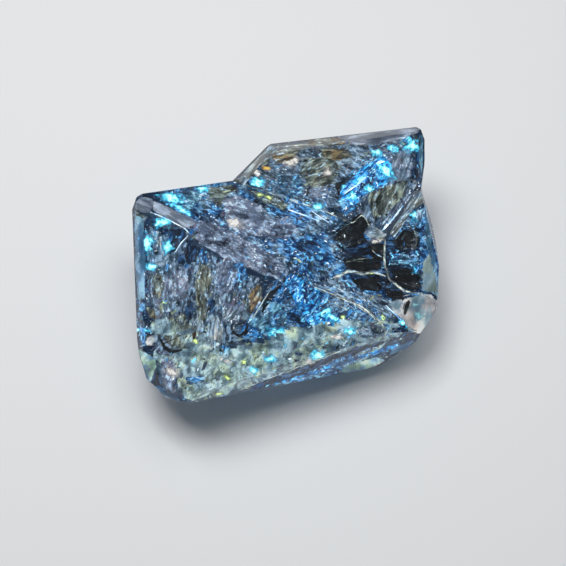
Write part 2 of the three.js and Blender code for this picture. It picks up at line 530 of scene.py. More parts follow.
CRACK = ((0.37, (0.06, 0.07, 0.07)), (0.50, (0.34, 0.35, 0.30)), (0.60, (0.90, 0.92, 0.74)))
# Painted glints along lines
GLINT = ((0.37, (0.20, 0.42, 0.66)), (0.50, (0.62, 0.84, 0.95)), (0.60, (1.0, 1.0, 1.0)))

# Slow change of shade over a film, strong or slight
UNEVEN = ((0.36, (0.12, 0.14, 0.18)), (0.50, (0.72, 0.84, 0.95)), (0.60, (1.0, 1.0, 1.0)))
EVEN = ((0.36, (0.62, 0.70, 0.78)), (0.50, (0.85, 0.93, 1.0)), (0.60, (1.0, 1.0, 1.0)))

# Dot colours: painted white and blue glints, and dark specks
PAINTED_WHITE_GLINT = (0.9, 0.95, 1.0)
PAINTED_BLUE_GLINT = (0.25, 0.7, 1.0)
DARK_DOT = (0.01, 0.014, 0.010)

# A film's finish unless it has its own: fine, coarse, dots and crackle are patterns per mm, dot_share and
# least are shares from 0 to 1, and stretch is how many times longer the streaks are than wide
# glow is the strength of a painted glow, and the crackle colour is a painted glint
PLAIN_FINISH = dict(
    stretch=2.5, fine=7.0, coarse=1.3, grit=0.7, shards=0.16, shade=UNEVEN, glow=0.75, least=0.3,
    dot=PAINTED_WHITE_GLINT, dots=9.0, dot_size=0.22, dot_share=0.15,
    crackle=2.6, crackle_width=0.024, shine=(0.62, 0.80, 0.92))


def mottled(slot, stops, patch, **own):
    """Finish of a film with two sets of colours, and with its own values where they aren't the plain ones."""
    return {**PLAIN_FINISH, "slot": slot, "stops": stops, "patch": patch, **own}


FINISHES = {
    "slate_veil": mottled("healed_fractures", SLATE, GREY, stretch=2.4, fine=6.0),
    "blue_veil": mottled(
        "oil_inclusions", BLUE, SLATE, stretch=2.0, dot=PAINTED_BLUE_GLINT, dot_share=0.25, shine=(0.35, 0.75, 0.98),
        glow=0.8),
    "grey_veil": mottled("healed_fractures", GREY, MAUVE, stretch=3.0),
    "mauve_veil": mottled(
        "healed_fractures", MAUVE, MAUVE, stretch=2.0, fine=6.0, dot_share=0.25, grit=0.64, shards=0.09,
        least=0.6),
    "olive_veil": mottled("bitumen", OLIVE, OLIVE, stretch=3.5, dot_share=0.12, least=0.6),
    "haze_veil": mottled(
        "healed_fractures", HAZE, LICHEN, stretch=1.3, fine=3.0, coarse=1.6, dot=DARK_DOT, dots=5.0,
        dot_size=0.25, dot_share=0.25, crackle_width=0.008, shade=EVEN, grit=0.62, least=0.55, shards=0.08),
    "night_film": mottled(
        "bitumen", NIGHT, NIGHT, stretch=3.0, dot=PAINTED_BLUE_GLINT, dot_share=0.08, crackle=1.6, crackle_width=0.01,
        shine=(0.2, 0.4, 0.6), glow=0.5, least=0.85),
    # Painted shade in the dark windows, and real bitumen in the dark lines and the dark inclusion
    "window_film": mottled(
        "bitumen", WINDOW, WINDOW, stretch=3.0, fine=4.0, dot=(0.3, 0.3, 0.28), dot_share=0.06, crackle=1.4,
        crackle_width=0.006, shine=(0.25, 0.3, 0.3), glow=0.2, least=0.8, shards=0.08),
    "teal_film": mottled("oil_inclusions", TEAL, BLUE, stretch=2.0, dot=PAINTED_BLUE_GLINT, dot_share=0.2, glow=0.8),
    "azure_film": mottled(
        "oil_inclusions", AZURE, BLUE, stretch=1.6, dot=(0.6, 0.95, 1.0), dot_share=0.3,
        shine=(0.6, 0.97, 1.0), glow=1.0),
    "tan_film": mottled("healed_fractures", TAN, GREY, stretch=4.0, dot_share=0.1, shade=EVEN),
    "bitumen_film": mottled(
        "bitumen", BITUMEN, OLIVE, stretch=3.0, dot=(0.7, 0.5, 0.25), dot_share=0.1, least=0.85, shade=EVEN,
        glow=0.6),
    # Painted reflection along the crystal's outline
    "rim_film": mottled(
        "healed_fractures", RIM, TEAL, stretch=3.0, fine=2.0, coarse=0.8, dot_share=0.05, crackle_width=0.004,
        glow=0.55, shade=EVEN, grit=0.6, shards=0.05),
    "lath_film": mottled(
        "healed_fractures", LATH, LATH, stretch=6.0, fine=4.0, dot_share=0.05, crackle_width=0.006,
        shade=EVEN, grit=0.65, least=0.8, shards=0.03),
    "cream_film": mottled(
        "healed_fractures", CREAM, DUSK, stretch=1.6, fine=1.6, dot_share=0.02, crackle_width=0.002,
        glow=0.55, shade=EVEN, grit=0.55, least=0.8, shards=0.0),
    "pale_film": mottled(
        "healed_fractures", PALE, DUSK, stretch=3.5, fine=1.6, dot=PAINTED_BLUE_GLINT, dots=5.0, dot_share=0.06,
        crackle_width=0.003, glow=0.7, shade=EVEN, grit=0.5, least=0.8, shards=0.05),
    "lime_film": mottled(
        "oil_inclusions", LIME, RIM, stretch=2.0, fine=2.0, dot_share=0.05, crackle_width=0.004, glow=0.6,
        shade=EVEN, grit=0.55, shards=0.0),
    "crack_line": mottled(
        "healed_fractures", CRACK, CRACK, stretch=3.0, fine=5.0, shade=EVEN, least=0.8, glow=0.9),
    "glint_line": mottled(
        "healed_fractures", GLINT, GLINT, stretch=3.0, fine=6.0, glow=1.2, shade=EVEN, least=0.8),
}

# Drops of oil with a painted glow, brightest in the middle: colours from the edge to the middle
GLOW_FINISHES = {
    "cyan_glow": dict(slot="oil_inclusions", glow=1.0, stops=(
        (0.0, (0.006, 0.09, 0.22)), (0.30, (0.02, 0.27, 0.48)), (0.60, (0.10, 0.60, 0.74)),
        (0.95, (0.58, 0.97, 1.0)))),
    "gold_glow": dict(slot="oil_inclusions", glow=0.45, stops=(
        (0.0, (0.14, 0.08, 0.02)), (0.4, (0.50, 0.28, 0.05)), (0.7, (0.90, 0.62, 0.14)))),
    "lime_glow": dict(slot="oil_inclusions", glow=0.7, stops=(
        (0.0, (0.14, 0.18, 0.09)), (0.4, (0.40, 0.52, 0.15)), (0.7, (0.85, 1.0, 0.40)))),
    "mist_glow": dict(slot="healed_fractures", glow=0.6, stops=(
        (0.0, (0.04, 0.11, 0.15)), (0.4, (0.10, 0.27, 0.33)), (0.8, (0.24, 0.50, 0.54)))),
    # Painted reflections: pale cream spots that glow
    "cream_glow": dict(slot="healed_fractures", glow=0.6, stops=(
        (0.0, (0.20, 0.22, 0.25)), (0.4, (0.48, 0.46, 0.44)), (0.8, (0.84, 0.80, 0.74)))),
}


# What shows inside the crystal, by its place in the photograph in image points. The noise of each film starts
# from its place in its table, and a fleck belongs to the first film that it lies over, so the order matters

# Wide broken veils deep under the faces: kind, depth in mm, direction of the streaks in degrees, outline
VEILS = {
    "left face": ("slate_veil", 0.75, 84, (
        (143, 224), (200, 246), (262, 279), (240, 325), (205, 385), (170, 380), (152, 345), (145, 290))),
    "top face": ("blue_veil", 0.7, -28, (
        (160, 196), (225, 184), (290, 180), (345, 214), (312, 250), (286, 266), (225, 240), (182, 220))),
    "right face": ("blue_veil", 0.8, -30, (
        (292, 272), (318, 246), (352, 222), (384, 242), (420, 196), (432, 250), (432, 288), (385, 322),
        (330, 292))),
    "near face": ("blue_veil", 0.75, 30, (
        (284, 274), (330, 292), (386, 322), (392, 334), (352, 334), (310, 336), (262, 340), (236, 340),
        (262, 308))),
    "lower haze": ("haze_veil", 0.62, 20, (
        (226, 336), (300, 334), (345, 328), (388, 328), (412, 333), (392, 342), (350, 353), (300, 369),
        (240, 392), (205, 402), (206, 362))),
    "upper crystal": ("slate_veil", 0.7, -25, (
        (243, 180), (272, 150), (340, 143), (404, 137), (380, 160), (345, 196), (325, 206), (290, 196))),
    "upper crystal, right": ("grey_veil", 0.7, 60, (
        (352, 200), (388, 158), (412, 140), (418, 170), (412, 196), (386, 228), (362, 222))),
}

# Smaller films nearer the faces: kind, depth in mm, direction of the streaks in degrees, outline
FILMS = {
    # Left face
    "left rim": ("rim_film", 0.12, 88, (
        (134.5, 214), (141, 218), (144, 262), (143, 300), (137.5, 300), (135, 260))),
    "foot of the left rim": ("blue_veil", 0.18, 88, (
        (137, 300), (145, 300), (147, 330), (146, 346), (139, 347))),
    "end of the lath": ("lath_film", 0.1, -30, (
        (133.5, 207), (138, 199), (146, 195), (152, 197), (154, 205), (150, 213), (141, 213))),
    "olive spot under the lath": ("olive_veil", 0.2, 0, (
        (134.5, 210), (149, 215.5), (145, 222), (134.8, 221))),
    "lath": ("lath_film", 0.14, -29, (
        (152, 200), (161, 203), (194.5, 219.5), (197, 223.7), (184, 227), (171, 219.5), (153.4, 209.5))),
    "mauve band beyond the lath": ("mauve_veil", 0.45, -29, (
        (190, 222), (206, 220), (240, 236), (268, 252), (286, 268), (280, 280), (256, 272), (222, 258),
        (198, 242))),
    "dark notch under the lath": ("night_film", 0.22, 60, (
        (168, 228), (180, 227), (189, 235), (176, 252), (170, 256), (164, 249))),
    "dark spot under the notch": ("night_film", 0.35, 84, (
        (176, 262), (188, 240), (202, 247), (196, 262), (184, 268))),
    "blue spot beside the notch": ("blue_veil", 0.4, 84, (
        (184, 246), (204, 248), (210, 262), (199, 268), (188, 262))),
    "blue spot under the mauve band": ("blue_veil", 0.42, 60, (
        (216, 262), (244, 262), (252, 283), (236, 290), (218, 284))),
    "grey patch": ("grey_veil", 0.38, 84, (
        (150, 262), (168, 260), (176, 290), (172, 312), (156, 312), (149, 290))),
    "olive blade": ("olive_veil", 0.24, 88, (
        (198.5, 259), (208, 263), (213.5, 280), (209, 298), (206, 319), (203, 328), (198, 319), (194, 287),
        (197.5, 269))),
    "olive patch at the foot": ("olive_veil", 0.36, 60, (
        (162, 318), (186, 312), (196, 330), (190, 352), (172, 350), (160, 336))),
    "brown blade": ("bitumen_film", 0.2, 68, (
        (256.6, 284), (263, 286), (263, 299.7), (255, 314), (248, 312.5), (247.5, 295.5))),
    "brown spot at the rim": ("bitumen_film", 0.3, 60, (
        (145, 306), (154, 308), (160, 318), (155, 322), (148, 316))),
    "cream spot at the rim": ("cream_film", 0.14, 50, (
        (146, 336.5), (153.4, 334.5), (156.8, 340), (150.5, 346), (145, 343))),
    "lime patch at the round corner": ("lime_film", 0.1, 60, (
        (137.8, 348), (154, 359), (155.3, 367), (150.3, 382.5), (141, 371), (137.8, 361))),
    "dark wedge at the round corner": ("night_film", 0.16, 75, (
        (156.6, 364), (162.5, 389.5), (156, 387), (150.5, 383))),
    "mauve patch at the round corner": ("mauve_veil", 0.22, 75, (
        (160, 358), (174, 360), (178, 374), (176, 394), (166, 390), (160, 372))),
    "haze by the round corner": ("haze_veil", 0.26, 75, (
        (172, 350), (196, 346), (222, 356), (216, 380), (206, 399), (186, 399), (176, 384))),
    "haze over the round corner": ("haze_veil", 0.24, 60, (
        (176, 332), (190, 326), (214, 336), (222, 352), (204, 356), (184, 350))),
    "rim of the round corner": ("rim_film", 0.1, -45, (
        (150, 384), (161, 390), (178, 398), (199, 401), (198, 403), (177, 401), (160, 393))),
    "deeper haze by the round corner": ("haze_veil", 0.34, 75, (
        (184, 352), (200, 344), (216, 350), (232, 352), (222, 372), (206, 397), (184, 397), (182, 372))),
    "haze at the rim's foot": ("haze_veil", 0.4, 60, (
        (152, 350), (166, 354), (182, 354), (180, 364), (160, 364), (153, 358))),
    "teal patch by the brown blade": ("teal_film", 0.3, 40, (
        (256, 306), (276, 300), (290, 312), (286, 330), (262, 334), (248, 326))),
    "mauve patch over the brown blade": ("mauve_veil", 0.26, 70, (
        (216, 262), (232, 258), (240, 272), (232, 290), (220, 300), (214, 284))),
    "grey patch under the brown blade": ("grey_veil", 0.24, 60, (
        (222, 300), (240, 298), (246, 312), (236, 324), (222, 322))),
    "tan patch by the ring": ("tan_film", 0.22, 80, (
        (208, 318), (218, 316), (224, 330), (220, 346), (210, 350), (206, 334))),
    "mauve patch by the olive blade": ("mauve_veil", 0.24, 84, (
        (172, 268), (186, 266), (190, 286), (184, 304), (174, 300))),
    "olive patch at the left": ("olive_veil", 0.22, 84, (
        (152, 276), (162, 272), (166, 288), (160, 300), (152, 296))),
    "haze over the cream spot": ("haze_veil", 0.3, 84, (
        (150, 322), (164, 316), (176, 322), (178, 334), (160, 338), (150, 334))),
    "dark sliver left of the blade": ("night_film", 0.2, 84, (
        (186, 300), (192, 298), (194, 318), (188, 326), (184, 314))),
    "dark sliver right of the blade": ("night_film", 0.2, 60, (
        (206, 300), (214, 296), (218, 310), (210, 316))),
    # Top face
    "teal patch over the lath": ("teal_film", 0.22, -25, (
        (160, 196), (184, 192), (206, 188), (208, 196), (196, 204), (188, 214), (176, 207))),
    "olive patch at the far edge": ("olive_veil", 0.28, 0, (
        (206, 187), (233, 183.5), (240, 190), (226, 198), (221, 210), (210, 202))),
    "mauve cloud": ("mauve_veil", 0.22, -20, (
        (221, 198), (240, 194), (262, 206), (276, 222), (270, 236), (244, 238), (226, 226))),
    "dark streak at the far edge": ("night_film", 0.34, -25, (
        (240, 186), (258, 188), (276, 192), (288, 202), (280, 208), (262, 202), (247, 194))),
    "olive streak at the far edge": ("olive_veil", 0.26, -25, (
        (246, 190), (262, 190), (284, 200), (296, 212), (282, 211), (262, 203))),
    "small mauve cloud": ("mauve_veil", 0.35, 0, (
        (262, 222), (296, 214), (306, 226), (286, 240), (268, 240))),
    "blue patch in the middle": ("blue_veil", 0.3, -25, (
        (290, 196), (320, 204), (334, 222), (322, 238), (300, 232), (284, 214))),
    "dark spot in the middle": ("night_film", 0.3, -30, (
        (302, 241), (316, 239), (322, 247), (310, 254), (302, 250))),
    # Right face
    # Painted shade: near-black windows where the crystal looks dark right through
    "upper left window": ("window_film", 0.24, 40, (
        (342, 224.5), (360, 213.5), (370, 222.5), (364, 233), (367, 241), (354, 247), (333, 239.5))),
    "tan cluster": ("tan_film", 0.2, 20, (
        (364, 231), (371.6, 223), (386, 234), (384.5, 241.5), (368, 243.5))),
    "upper right window": ("window_film", 0.25, 60, (
        (391.6, 241), (404, 228.5), (410.5, 231), (420.5, 223), (420.5, 242), (413, 251), (396, 248))),
    "middle window": ("window_film", 0.26, 20, ((368, 245), (384.5, 243), (383.5, 262), (372, 260))),
    "teal bar between windows": ("teal_film", 0.3, 0, (
        (389, 251), (412, 253), (421, 254), (419, 265), (391, 266))),
    "lower left window": ("window_film", 0.26, -10, (
        (342, 258), (362, 256), (381, 262), (382, 269), (364, 272), (346, 269))),
    "lower right window": ("window_film", 0.24, 0, (
        (391, 271), (407, 267), (421, 272), (420, 291), (406, 290), (396, 282))),
    "window over the corner": ("window_film", 0.26, -20, (
        (384, 290), (402, 290), (404, 297), (398, 303), (387, 297))),
    "lowest window": ("window_film", 0.32, -20, (
        (350, 279), (372, 277), (384, 284), (380, 292), (360, 290))),
    "slate patch under the windows": ("slate_veil", 0.36, -30, (
        (356, 292), (382, 294), (396, 304), (392, 318), (374, 308))),
    "dark ground of the windows": ("night_film", 0.34, 0, (
        # Painted shade: the dark ground round the windows
        (345, 238), (372, 238), (420, 238), (424, 290), (398, 300), (374, 286), (343, 274))),
    "tan ridge strip": ("tan_film", 0.16, 50, (
        (421, 188), (426, 201), (411.6, 212), (395, 238), (388.4, 234), (406, 204.5))),
    "blue strip at the rim": ("blue_veil", 0.16, 80, (
        (415, 208), (428, 208), (432, 236), (427, 247), (418, 236), (414, 222))),
    "right rim": ("rim_film", 0.1, 82, (
        (427.5, 204), (432, 238), (439, 279), (440, 300), (433, 291), (428, 262), (425, 232), (424, 210))),
    "blue spot by the lower window": ("blue_veil", 0.15, 80, (
        (417, 262), (424, 262), (425, 276), (419, 283), (415, 274))),
    # Near face
    "azure patch": ("azure_film", 0.22, 50, (
        (285, 284), (291, 277), (307, 281), (324, 295), (320, 310), (339, 319), (331, 333), (315, 329),
        (299, 317), (292, 298))),
    "dark patch by the azure": ("night_film", 0.3, -10, (
        (283, 309), (298, 313), (312, 324), (303, 328), (290, 321))),
    "haze in the middle": ("haze_veil", 0.28, 60, (
        (212, 376), (228, 350), (262, 352), (290, 356), (276, 369), (240, 383), (214, 392))),
    "teal streak by the corner": ("teal_film", 0.18, 0, ((184, 376), (205, 375), (206, 383), (186, 386))),
    "slate patch by the corner": ("slate_veil", 0.26, -20, (
        (356, 326), (382, 324), (388, 334), (360, 340))),
    # Corner facet and lower strip
    "dark inclusion": ("window_film", 0.08, 60, (
        (403.2, 314), (404.4, 305), (408.5, 299), (411, 301.5), (409, 308), (405.5, 315.5))),
    "cream facet": ("cream_film", 0.19, 70, (
        (403, 299.5), (420, 292), (432, 294), (442.5, 302), (436, 315), (422, 333), (405, 328),
        (399, 309))),
    "pale rim over the facet": ("pale_film", 0.07, 80, (
        (423, 262), (430, 252), (438, 280), (441, 301), (431, 294), (421, 291), (421, 276))),
    "cream beside the facet": ("cream_film", 0.24, 50, (
        (387, 304), (395, 299), (404, 298), (404, 312), (406, 324), (398, 317))),
    "dark strip": ("night_film", 0.1, 24, (
        (232, 393), (262, 382), (310, 363), (360, 345.5), (417, 333.5), (411, 339), (372, 349), (330, 363),
        (290, 377), (252, 389))),
    "rim of the strip": ("rim_film", 0.08, 22, (
        (392, 349), (416, 338), (413, 343), (402, 351), (386, 358))),
    "lime streak": ("lime_film", 0.05, 22, (
        (334, 373), (350, 364), (376, 357), (386, 360), (374, 367), (350, 374))),
    "azure streak": ("azure_film", 0.06, 22, (
        (262, 388), (300, 375), (352, 356), (396, 344), (404, 347), (372, 356), (330, 370), (290, 383))),
    "teal streak": ("teal_film", 0.1, 22, (
        (255, 391), (300, 378), (336, 369), (338, 374), (300, 382), (262, 391))),
    # Upper crystal
    "tan left edge": ("tan_film", 0.08, 42, ((236, 181), (269, 145), (277, 146), (262, 163), (246, 182))),
    "olive cloud": ("olive_veil", 0.22, 15, (
        (257, 163), (271, 148), (300, 143), (312, 144), (300, 152), (276, 156), (264, 166))),
    "brown cloud at the edge": ("bitumen_film", 0.12, 12, (
        (270, 157), (282, 147), (300, 145), (300, 152), (292, 161), (276, 164))),
    "brown streak at the top": ("bitumen_film", 0.1, 5, (
        (305, 138.5), (343, 135), (348, 144), (330, 147), (308, 146))),
    "brown cloud under the top": ("bitumen_film", 0.12, 5, (
        (320, 149), (348, 147), (354, 158), (336, 162), (320, 158))),
    "lilac top edge": ("lath_film", 0.08, 5, (
        (334, 136), (380, 130), (416, 127.5), (420, 131), (404, 137), (378, 142.5), (356, 144),
        (344, 141))),
    "olive patch under the top": ("olive_veil", 0.3, 25, (
        (301, 158), (330, 156), (342, 166), (332, 186), (310, 188), (300, 174))),
    "mauve patch": ("mauve_veil", 0.32, 20, (
        (304, 184), (324, 176), (334, 180), (326, 192), (314, 196), (304, 194))),
    "teal patch": ("teal_film", 0.34, 10, ((278, 174), (300, 174), (304, 190), (286, 196), (277, 188))),
    "dark window": ("window_film", 0.22, 50, ((334, 184), (352, 176), (358, 180), (348, 192), (338, 196))),
    "azure sweep": ("azure_film", 0.2, 45, (
        (340, 191), (360, 162), (385, 155), (395, 170), (386, 187), (370, 190), (360, 202), (344, 214))),
    "olive shards": ("olive_veil", 0.16, 68, (
        (368.4, 191), (396, 182), (409.5, 178), (406, 195), (385, 216), (373, 218), (368.4, 205.5))),
    "grey patch at the right": ("grey_veil", 0.2, 70, (
        (392, 156), (404, 148), (412, 160), (412, 178), (396, 181), (391, 170))),
    "dark spot at the right": ("night_film", 0.14, 80, ((410, 168), (419, 166), (421, 180), (414, 184))),
    "right rim of the upper crystal": ("rim_film", 0.08, 88, (
        (418, 134), (422.5, 134), (423, 160), (422, 178), (419, 160))),
}

# Thin cracks, growth lines and painted glint lines: kind, width, path
LINES = {
    "crack through the windows": ("crack_line", 2.2, (
        (385.3, 240), (384.2, 254), (384.6, 264), (389.5, 279), (404, 291), (419, 293.5))),
    "crack under the windows": ("crack_line", 2.8, (
        (334, 279), (341, 275), (348, 271), (356, 272), (364, 275), (371, 271.5), (377, 273),
        (386, 276.5))),
    "glint on the right ridge": ("glint_line", 1.8, ((403.5, 205), (396, 215), (387, 225.5), (383, 231))),
    "glint on the top face": ("glint_line", 1.6, ((288, 209.5), (304, 215), (319, 221))),
    "second glint on the top face": ("glint_line", 1.2, ((311, 210), (322, 218), (332, 225))),
    "azure glint, low": ("glint_line", 2.6, ((356, 186), (361, 181), (366, 177))),
    "azure glint, high": ("glint_line", 2.4, ((364, 174), (370, 166), (377, 162), (384, 160))),
    "azure glint, lowest": ("glint_line", 1.4, ((344, 194), (351, 189), (356, 186))),
    "ridge to the corner": ("crack_line", 1.6, (
        (310, 285), (330, 293.5), (348, 301), (362, 307), (381, 322.5), (386.5, 335))),
    "growth line by the ridge": ("crack_line", 1.2, (
        (322, 286), (338, 294), (352, 303), (372, 316), (384, 327))),
    "glint by the ridge": ("glint_line", 1.0, ((330, 284), (346, 293), (362, 302))),
    "growth line under the ridge": ("crack_line", 1.2, ((316, 295), (334, 303), (350, 312))),
    "glint at the corner facet": ("glint_line", 1.6, ((385.5, 305), (394, 313), (404, 323))),
    "dark shadow of the brown blade": ("crack_line", 1.0, ((404.2, 316.5), (406.2, 309), (408.8, 301.5))),
    "edge of the brown blade": ("window_film", 4.5, ((281, 285), (272, 294), (266, 304), (262, 312))),
    "tip of the brown blade": ("crack_line", 1.2, ((271.5, 287.5), (262, 303), (254, 316), (248, 323))),
    "ring, lower part": ("window_film", 2.0, ((263, 284), (267, 281))),
    "ring, upper part": ("window_film", 3.4, (
        (231, 325), (233.5, 332.5), (239, 336), (245.5, 332), (248, 323))),
    "cream drop": ("window_film", 1.4, ((232, 325), (240, 324), (248, 321))),
    "glint under the drop": ("cream_film", 4.0, ((215.5, 324), (216.2, 332), (215, 340))),
    "small cream drop": ("glint_line", 1.4, ((214.5, 341), (214.3, 348))),
    "crescent": ("cream_film", 1.6, ((224, 328), (226, 336))),
    "crescent, upper part": ("window_film", 4.0, ((160, 338), (164.5, 347.5), (172, 352), (182, 350))),
    "tail of the olive blade": ("window_film", 3.0, ((164, 343.5), (176.5, 338))),
    "second tail of the olive blade": ("olive_veil", 1.8, ((200, 320), (197, 327), (193.5, 333))),
    "edge of the dark notch": ("olive_veil", 1.6, ((202, 320), (203.5, 330))),
    "edge of the lath": ("glint_line", 1.2, ((188.3, 235.2), (181, 243), (174.5, 253))),
    "cream bar": ("glint_line", 1.3, ((150, 212), (166, 218.5), (184, 228), (191, 235))),
    "olive crack by the rim": ("cream_film", 2.6, ((160, 238), (160.6, 248))),
    "olive crack over the windows": ("olive_veil", 1.6, ((414, 229), (417, 238), (415, 247))),
    "glint in the tan cluster": ("olive_veil", 1.2, ((346, 262), (360, 259), (374, 258))),
    "outline of the inclusion": ("glint_line", 0.8, ((372, 250), (376, 254), (382, 257))),
    "second outline of the inclusion": ("window_film", 1.6, ((404.5, 312), (406, 305), (409.5, 299.5))),
    "streak in the inclusion": ("window_film", 1.0, ((403.5, 310), (404.5, 304), (408, 300))),
    "near edge": ("crack_line", 0.9, ((240, 390), (290, 370), (330, 355), (362, 343.5))),
    "glint in the strip": ("glint_line", 1.2, ((384, 343), (394, 341), (404, 338))),
    "second glint in the strip": ("glint_line", 1.0, ((362, 352), (372, 348), (380, 347))),
    "seam of the two crystals": ("crack_line", 1.2, (
        (243, 181), (262, 188), (290, 196), (330, 210), (351, 222), (361, 214), (372, 223), (385, 240))),
    "growth line of the upper crystal": ("crack_line", 1.0, (
        (276, 147), (300, 145), (340, 141), (380, 137))),
}

# Small blurred painted glows of oil drops: kind, then x, y, width, height and direction in degrees of each
GLOWS = {
    "cyan_glow": {
        "left rim": (147, 243, 24.2, 20.5, 70), "under the notch": (167, 247, 15.0, 16.9, 0),
        "left rim, lower": (152, 267, 11.2, 20.5, 80), "left edge": (137.6, 229.5, 9.4, 9.4, 0),
        "under the lath": (163, 222, 24.2, 15.0, 20), "far edge": (202.4, 189, 16.9, 9.4, 0),
        "over the lath": (172, 198, 35.5, 15.0, -15), "beside the lath": (182, 209.5, 31.8, 8.5, -27),
        "seam, left": (257, 181, 20.5, 11.2, 0), "haze, top": (278, 334, 16.9, 28.0, 80),
        "haze, middle": (270.3, 358.7, 17.0, 9.0, -5), "haze, left": (253.4, 370.3, 11.2, 9.4, 0),
        "near edge": (318, 355.5, 22.0, 14.0, 5), "near face, streak": (324.5, 313, 9.4, 22.4, -65),
        "near face": (332, 318, 16.9, 11.2, -30), "upper crystal, corner": (411.6, 145.5, 22.4, 18.6, 0),
        "upper crystal, top": (376.8, 153, 15.0, 11.2, 0), "azure sweep": (386, 171, 20.5, 28.0, 60),
        "top face": (318, 208, 16.9, 15.0, 0), "azure sweep, low": (369, 188, 11.2, 16.9, 80),
        "right rim": (416.8, 216, 16.9, 16.9, 0), "right rim, lower": (421, 271, 13.1, 20.5, 80),
        "foot of the left rim": (138, 330, 6.5, 26.1, 88),
        "by the corner facet": (350, 331, 18.6, 11.2, -20),
        "tip of the corner facet": (404, 323, 15.0, 9.4, -40), "haze, right": (283, 342, 15.0, 15.0, 0),
        "haze, far right": (300, 336, 22.4, 9.4, 0), "upper crystal, middle": (346, 187, 13.1, 9.4, 40),
        "upper crystal, right": (392, 148, 13.1, 9.4, 0), "seam, right": (352, 196, 11.2, 15.0, 60),
    },
    "gold_glow": {
        "upper crystal, left": (266.5, 168, 12, 7, -5), "upper crystal, top": (324, 141, 22, 5, 4),
        "upper crystal, middle": (334, 154, 18, 5, 4),
    },
    "lime_glow": {
        "seam": (260.8, 194.5, 10, 4, -15), "seam, right": (268, 197, 12, 4, -20),
        "left rim": (164.5, 303, 4, 7, 80), "near ridge": (383, 317.6, 8, 7, 0),
        "strip": (357.5, 365, 14, 4, 20), "window crack": (372, 273, 8, 3.5, 0),
        "haze, left": (228, 378, 7, 9, 70), "under the olive blade": (196, 341, 5, 9, 60),
        "haze, top": (262, 348, 8, 6, 0), "round corner": (219, 394, 10, 4, 10),
        "haze, middle": (244, 362, 6, 6, 0), "near face": (343, 317, 7, 6, 0),
    },
    "mist_glow": {
        "corner facet": (428, 308, 15.0, 11.0, 20), "corner facet, low": (419, 316, 10.0, 15.0, 70),
        "pale rim": (434, 287, 6.0, 13.0, 85), "by the inclusion": (414, 305, 7.0, 13.0, 80),
    },
    # Painted reflections: pale cream spots
    "cream_glow": {
        "upper crystal, left": (291, 161, 24.0, 15.0, 15), "window crack": (376, 241, 16.5, 6.0, 8),
        "seam, left": (257, 173, 7.5, 13.5, 60), "haze, left": (224, 359.7, 9.0, 15.0, 85),
        "haze, middle": (309.5, 361.5, 10.5, 10.5, 0), "strip": (377, 363.2, 18.0, 5.2, 15),
        "upper crystal, middle": (328, 172, 12.0, 10.5, 0), "mauve cloud": (234.5, 223, 13.5, 21.0, 80),
        "under the windows": (339, 276, 12.0, 6.0, 15), "round corner": (172, 372, 12.0, 21.0, 70),
        "near face": (336.8, 337, 6.0, 16.5, 85), "corner facet": (408, 302, 9.0, 13.5, 60),
    },
}


# Films, cracks and glows

# Grid of a film in image points: its cells, as many as fit across the film, and its margin
CELL_LEAST = 0.8
CELL_MOST = 2.0
CELLS_ACROSS = 30
GRID_MARGIN = 4

# How far past its outline a film reaches, in cells, and how ragged a point must be to stay there
OUTER_CELLS = 0.8
STAY_OUT = 0.4

# Waves of a film's edge and folds per image point, and steps of the grain in mm from film to film
FRAY_WAVES = 0.35
FOLD_WAVES = 0.09
FOLD_SALT = 20
GRAIN_STEP = (3.7, 1.3)

# Lines, glows and deep films
LINE_TAPER = 0.45
LINE_DEPTH_MM = 0.12
GLOW_DEPTH = 0.16 * MM
GLOW_BOW = 0.05 * MM
GLOW_MARGIN = 0.02 * MM
GLOW_WAVES = 0.3
GLOW_END = 1.05
GLOW_GRID = 1.5
DEEP_MARGIN = 0.04 * MM
DEEP_FOLD_MM = 0.06
DEEP_WAVES = 0.05
DEEP_FOLD_WAVES = 0.08
DEEP_CELL = 3.0

# Number that the noise of the first film of each table starts from
VEIL_SALT = 0
FILM_SALT = 50
LINE_SALT = 200
DEEP_SALT = 300
GLOW_SALT = 400

# How the edges of veils, of films with a clear edge, of other films and of lines are made
VEIL_EDGE = dict(cell=3.0, fray=8, crumple=0.15, soft=9)
CRISP_EDGE = dict(fray=0.8, soft=1.6)
SOFT_EDGE = dict(fray=3.5, soft=4.0)
LINE_EDGE = dict(fray=0.5, cell=0.7, crumple=0.01, firm=0.35)
CRISP_KINDS = ("lath_film", "lime_film", "window_film", "rim_film", "tan_film")


def within(outline, x, y):
    """How far a point is inside an outline, less than nothing outside, and the outline's nearest point."""
    best, nearest, odd = math.inf, None, False
    for (ax, ay), (bx, by) in zip(outline, outline[1:] + outline[:1]):
        ex, ey = bx - ax, by - ay
        part = max(0, min(1, ((x - ax) * ex + (y - ay) * ey) / (ex * ex + ey * ey)))
        away = math.hypot(x - ax - part * ex, y - ay - part * ey)
        if away < best:
            best, nearest = away, (ax + part * ex, ay + part * ey)
        if (ay > y) != (by > y) and x < ax + (y - ay) / (by - ay) * ex:
            odd = not odd
    return (best if odd else -best), nearest


